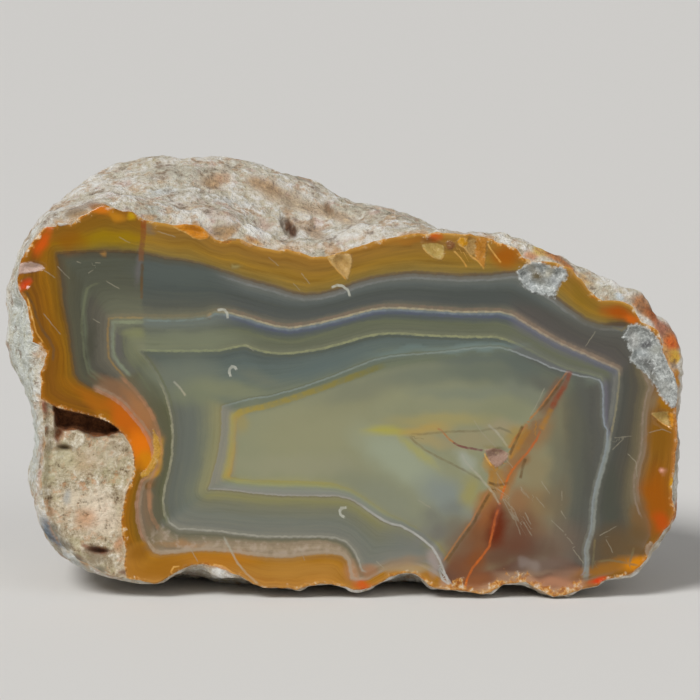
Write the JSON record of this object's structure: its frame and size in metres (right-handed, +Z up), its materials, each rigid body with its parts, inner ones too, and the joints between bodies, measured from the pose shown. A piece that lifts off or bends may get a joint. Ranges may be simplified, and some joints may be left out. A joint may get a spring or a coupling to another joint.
{
  "type": "sumatra agate",
  "caption": "Banded agate nodule sawn through and polished, with a pitted rind and a patch of soft host rock, standing on a small flat spot.",
  "frame": {"origin": "on the floor, below the middle of the stone's box", "axes": "+X to the right along the polished cut, +Y from the cut to the back, +Z up from the flat spot it rests on"},
  "size_m": [0.0912, 0.0444, 0.0568],
  "materials": {
    "agate": "polished on the cut, rough on the rind"
  },
  "bodies": {
    "root": {"agate_nodule": "agate"}
  },
  "joints": []
}
